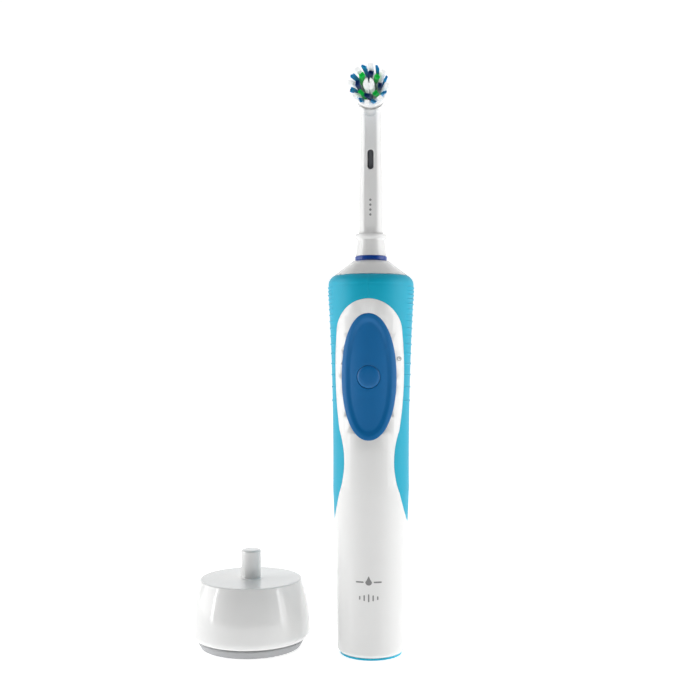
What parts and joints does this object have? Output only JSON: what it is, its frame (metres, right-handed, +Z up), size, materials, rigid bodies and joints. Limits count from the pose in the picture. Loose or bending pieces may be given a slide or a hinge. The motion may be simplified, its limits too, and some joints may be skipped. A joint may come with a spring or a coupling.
{
  "type": "electric toothbrush with charger",
  "caption": "Electric toothbrush standing beside its inductive charger: soft-grip handle with oval switch pad, pull-off neck and a round rocking bristle disc.",
  "frame": {"origin": "centre of the charger's foot, on the surface that the charger and the handle stand on", "axes": "+Z up along both pieces; +X to the right, towards the handle, which stands a little nearer the front; -Y is the front, where the bristles and the switch pad face"},
  "size_m": [0.0893, 0.0478, 0.2257],
  "materials": {
    "white_abs": "gloss",
    "base_grey": "satin",
    "grip_teal": "soft satin",
    "pad_blue": "soft satin",
    "button_blue": "soft satin",
    "cap_teal": "satin",
    "seal_black": "matte",
    "bobbin_nylon": "matte",
    "copper_wire": "enamelled",
    "ferrite": "matte",
    "board_green": "solder mask",
    "part_black": "matte",
    "can_aluminium": "drawn",
    "shaft_steel": "ground",
    "cell_steel": "sleeved",
    "tab_nickel": "plated",
    "magnet_grey": "matte",
    "chassis_pc": "matte",
    "gear_acetal": "satin",
    "bush_bronze": "sintered",
    "ring_blue": "gloss",
    "base_pad_grey": "satin",
    "bristle_cyan": "filament",
    "bristle_white": "filament",
    "bristle_navy": "filament",
    "bristle_green": "filament"
  },
  "bodies": {
    "charger": {"charger_cover": "white_abs", "charging_post": "white_abs", "charger_base": "base_grey", "charger_circuit_board": "board_green", "primary_bobbin": "bobbin_nylon", "primary_coil": "copper_wire", "ferrite_core": "ferrite", "charger_capacitor": "can_aluminium", "charger_transistor": "part_black"},
    "handle": {"handle_housing": "white_abs", "grip_sleeve": "grip_teal", "switch_pad": "pad_blue", "bottom_cap": "cap_teal", "bottom_cap_seal": "seal_black", "charging_bobbin": "bobbin_nylon", "charging_coil": "copper_wire", "chassis": "chassis_pc", "battery_cell": "cell_steel", "battery_tab_lower": "tab_nickel", "battery_tab_upper": "tab_nickel", "motor_can": "shaft_steel", "motor_end_cap": "part_black", "motor_magnets": "magnet_grey", "motor_bracket": "shaft_steel", "bracket_screws": "shaft_steel", "gear_axle": "shaft_steel", "circuit_board": "board_green", "tact_switch": "part_black", "lower_bearing": "bush_bronze", "upper_bearing": "bush_bronze", "shaft_seal": "seal_black"},
    "button": {"power_button": "button_blue"},
    "rotor": {"motor_shaft": "shaft_steel", "armature": "copper_wire", "pinion": "gear_acetal"},
    "crank": {"crank_gear": "gear_acetal"},
    "rocker": {"drive_shaft": "shaft_steel", "rocker_lever": "gear_acetal"},
    "brush_head": {"brush_neck": "white_abs", "colour_ring": "ring_blue", "disc_axle": "shaft_steel"},
    "rod": {"drive_rod": "gear_acetal"},
    "disc": {"disc_carrier": "white_abs", "centre_base": "base_pad_grey", "tufts_cyan": "bristle_cyan", "tufts_white": "bristle_white", "tufts_navy": "bristle_navy", "tufts_green": "bristle_green", "tufts_centre": "bristle_white"}
  },
  "joints": [
    {"name": "handle_lift", "type": "slide", "parent": "charger", "child": "handle", "axis": [0, 0, 1], "range_m": [0, 0.05]},
    {"name": "button_press", "type": "slide", "parent": "handle", "child": "button", "axis": [0, 1, 0], "range_m": [0, 0.0005], "stiffness_N_per_m": 1500, "springref_m": -0.0004},
    {"name": "motor_spin", "type": "hinge", "parent": "handle", "child": "rotor", "pos_m": [0.0484, -0.0056, 0.095], "axis": [0, 0, 1], "continuous": true},
    {"name": "crank_spin", "type": "hinge", "parent": "handle", "child": "crank", "pos_m": [0.0484, -0.0001, 0.111], "axis": [0, 0, 1], "continuous": true},
    {"name": "shaft_rock", "type": "hinge", "parent": "handle", "child": "rocker", "pos_m": [0.0484, -0.0056, 0.12], "axis": [0, 0, 1], "range_deg": [-12.5, 12.5]},
    {"name": "brush_pull", "type": "slide", "parent": "handle", "child": "brush_head", "axis": [0, 0, 1], "range_m": [0, 0.03]},
    {"name": "rod_rock", "type": "hinge", "parent": "brush_head", "child": "rod", "pos_m": [0.0484, -0.0056, 0.17], "axis": [0, 0, 1], "range_deg": [-12.6, 12.6]},
    {"name": "disc_rock", "type": "hinge", "parent": "brush_head", "child": "disc", "pos_m": [0.0484, -0.0091, 0.2177], "axis": [0, -1, 0], "range_deg": [-22, 22]}
  ],
  "couplings": [
    {"joint": "crank_spin", "follows": "motor_spin", "ratio": -0.57143},
    {"joint": "rod_rock", "follows": "shaft_rock", "ratio": 1},
    {"joint": "disc_rock", "follows": "shaft_rock", "ratio": 1.75}
  ]
}
